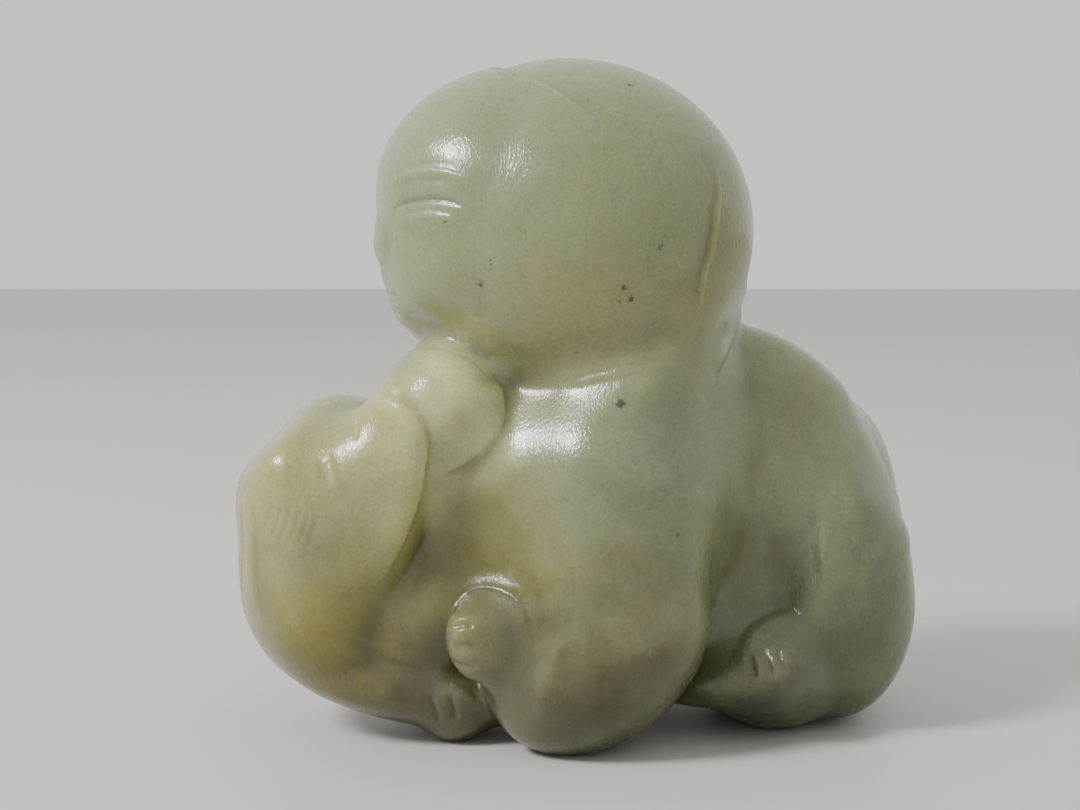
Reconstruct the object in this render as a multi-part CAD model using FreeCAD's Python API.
"""Jade figurine: a crouching child with a large round head, holding a folded lotus leaf.

The figurine is carved from one piece of stone. Each node is one carved mass of it, blocked out with
ellipsoids, and neighbouring masses meet face to face along the carved creases with no gap.
Millimetres. +Z is up and z = 0 is the plane it rests on. The child faces -X, and -Y is its left side.
"""
import FreeCAD
import Part
import os

V = FreeCAD.Vector

# Driving dimensions.
HEAD_RADIUS = 12.6        # the head's ball, half its height
HEAD_CENTRE = V(-0.4, 0.3, 36.5)
BODY_CENTRE = V(1.6, -0.6, 16.8)
RUMP_CENTRE = V(10.0, 2.8, 11.6)
LEAF_CENTRE = V(-17.5, -1.6, 16.6)
LIMB_OFFSET = 8.6         # how far the limbs stand to each side of the middle plane
BELLY_HEIGHT = 2.2        # how far the underside between elbows and feet stays off the ground
SPECK_VOLUME = 2.0        # a cut-off fragment smaller than this, in mm3, is dropped


def ellipsoid(centre, semi_axes, turn=0.0, yaw=0.0):
    """A solid ellipsoid. turn leans it about +Y and yaw swings it about +Z, in degrees."""
    stretch = FreeCAD.Matrix()
    stretch.scale(V(*semi_axes))
    body = Part.makeSphere(1.0).transformGeometry(stretch)
    body.rotate(V(), V(0, 1, 0), turn)
    body.rotate(V(), V(0, 0, 1), yaw)
    body.translate(centre)
    return body


def fused(*shapes):
    """One solid from several overlapping ones."""
    whole = shapes[0]
    for shape in shapes[1:]:
        whole = whole.fuse(shape)
    return whole


def other_side(point, spread=1.0):
    """The matching point on the far side of the middle plane."""
    return V(point.x, -point.y * spread, point.z)


def crown():
    """The skull: the ball of the head and the lobe at the nape."""
    ball = ellipsoid(HEAD_CENTRE, (1.08 * HEAD_RADIUS, HEAD_RADIUS, HEAD_RADIUS))
    nape = ellipsoid(HEAD_CENTRE + V(6.9, -0.3, -4.6), (6.2, 9.4, 7.4), turn=-12)
    return fused(ball, nape)


def face():
    """The domed forehead and full cheeks, standing a little proud of the skull towards -X."""
    forehead = ellipsoid(HEAD_CENTRE + V(-4.7, -0.6, 2.1), (9.6, 10.6, 9.5))
    cheeks = ellipsoid(HEAD_CENTRE + V(-4.5, -0.2, -1.4), (9.4, 10.9, 9.3))
    return fused(forehead, cheeks)


def collar():
    """The low roll between the head and the shoulders."""
    return ellipsoid(V(4.4, -0.4, 25.8), (8.4, 10.4, 2.9), turn=-10)


def torso():
    """Chest and back, leaning forwards over the leaf."""
    return ellipsoid(BODY_CENTRE, (11.6, 11.4, 11.6))


def belly():
    """The low front of the body, set back between the leaf and the elbows."""
    return ellipsoid(BODY_CENTRE + V(-7.2, -0.2, -2.4), (8.6, 9.0, 10.2))


def rump():
    """The arched back and rounded hind end, flat underneath and clear of the ground."""
    arch = ellipsoid(RUMP_CENTRE, (15.4, 9.2, 18.4))
    return arch.common(Part.makeBox(60, 60, 60, V(-20, -30, BELLY_HEIGHT)))


def back_fold():
    """The far hip, which stands a little behind the curve of the rump."""
    return ellipsoid(V(16.0, 6.8, 15.0), (9.6, 6.8, 10.8), turn=-6)


def arm(side):
    """A bent arm: shoulder, upper arm, and the elbow on the ground with the forearm folded up."""
    shoulder = V(2.6, -LIMB_OFFSET + 1.8, 16.8)
    upper = V(1.8, -LIMB_OFFSET + 1.0, 11.6)
    elbow = V(1.6, -LIMB_OFFSET, 7.5)
    if side == "far":
        shoulder, upper, elbow = other_side(shoulder), other_side(upper), other_side(elbow, 0.92)
    return fused(
        ellipsoid(shoulder, (8.0, 6.2, 9.4)),
        ellipsoid(upper, (7.7, 6.0, 7.6)),
        ellipsoid(elbow, (8.9, 5.6, 6.6), turn=-42),
    )


def hand(side):
    """A closed fist on the leaf's stem."""
    if side == "near":
        return ellipsoid(V(-5.6, -LIMB_OFFSET - 2.0, 8.5), (3.2, 3.2, 3.5))
    return ellipsoid(V(-8.6, -5.0, 2.6), (3.1, 3.4, 2.9))


def haunch(side):
    """The folded thigh."""
    across = -0.4 if side == "near" else 6.6
    return ellipsoid(V(18.7, across, 10.4), (6.7, 6.6, 10.2), turn=-6, yaw=3)


def foot(side):
    """The foot, tucked under the haunch and pointing at the elbow."""
    across = -0.9 if side == "near" else 7.2
    return ellipsoid(V(15.0, across, 4.8), (5.8, 6.3, 5.1), turn=-8)


def lotus_leaf():
    """The folded leaf, a tall rounded bundle."""
    upper = ellipsoid(LEAF_CENTRE + V(0.2, 0.0, 0.2), (7.4, 9.6, 7.9), turn=24)
    lower = ellipsoid(LEAF_CENTRE + V(-0.2, 0.4, -5.6), (7.3, 9.2, 8.6), turn=-14)
    return fused(upper, lower)


def leaf_fold():
    """The leaf's turned-over edge on the near side."""
    return ellipsoid(LEAF_CENTRE + V(3.7, -6.6, 1.7), (3.7, 3.6, 8.4), turn=13)


def lotus_stem():
    """The leaf's gathered base, running under the bundle to the hands."""
    return ellipsoid(V(-12.6, -2.6, 4.3), (10.4, 6.4, 3.4), turn=13)


def lotus_bud():
    """The round bud between the leaf and the chin."""
    return ellipsoid(V(-9.4, -5.0, 24.0), (4.8, 5.6, 5.0))


# A mass keeps its whole outer surface against every mass below it in this order.
NODES = (
    ("near_hand", lambda: hand("near")),
    ("far_hand", lambda: hand("far")),
    ("lotus_bud", lotus_bud),
    ("leaf_fold", leaf_fold),
    ("face", face),
    ("crown", crown),
    ("near_arm", lambda: arm("near")),
    ("far_arm", lambda: arm("far")),
    ("lotus_leaf", lotus_leaf),
    ("lotus_stem", lotus_stem),
    ("near_haunch", lambda: haunch("near")),
    ("far_haunch", lambda: haunch("far")),
    ("near_foot", lambda: foot("near")),
    ("far_foot", lambda: foot("far")),
    ("collar", collar),
    ("torso", torso),
    ("belly", belly),
    ("rump", rump),
    ("back_fold", back_fold),
)


def above_ground(shape):
    """The shape with everything below the resting plane ground off."""
    slab = Part.makeBox(120, 120, 30, V(-60, -60, -30))
    return shape.cut(slab)


def one_solid(shape):
    """The largest solid of a cut shape, after its specks are dropped."""
    solids = sorted(shape.Solids, key=lambda s: -s.Volume)
    spare = [s.Volume for s in solids[1:] if s.Volume > SPECK_VOLUME]
    if spare:
        print("  left out fragments of", [round(v, 1) for v in spare], "mm3")
    return solids[0]


def carve():
    """Every mass cut against the ones before it in NODES, as (name, solid) pairs."""
    whole = []
    solids = []
    for name, build in NODES:
        mass = build()
        left = mass
        for earlier in whole:
            if left.BoundBox.intersect(earlier.BoundBox):
                left = left.cut(earlier)
        whole.append(mass)
        solids.append((name, one_solid(above_ground(left))))
    return solids


def centre_shift(solids):
    """The move that brings the middle of the whole figurine's box over the origin."""
    box = FreeCAD.BoundBox()
    for _, solid in solids:
        box.add(solid.optimalBoundingBox(False))
    return V(-box.Center.x, -box.Center.y, 0.0)


def main():
    os.makedirs("parts", exist_ok=True)
    solids = carve()
    shift = centre_shift(solids)
    for name, solid in solids:
        solid.translate(shift)
        if not solid.isValid():
            print("  not valid:", name)
        solid.exportStep(f"parts/{name}.step")
        print(f"{name:12s} {solid.Volume:8.1f} mm3")


main()
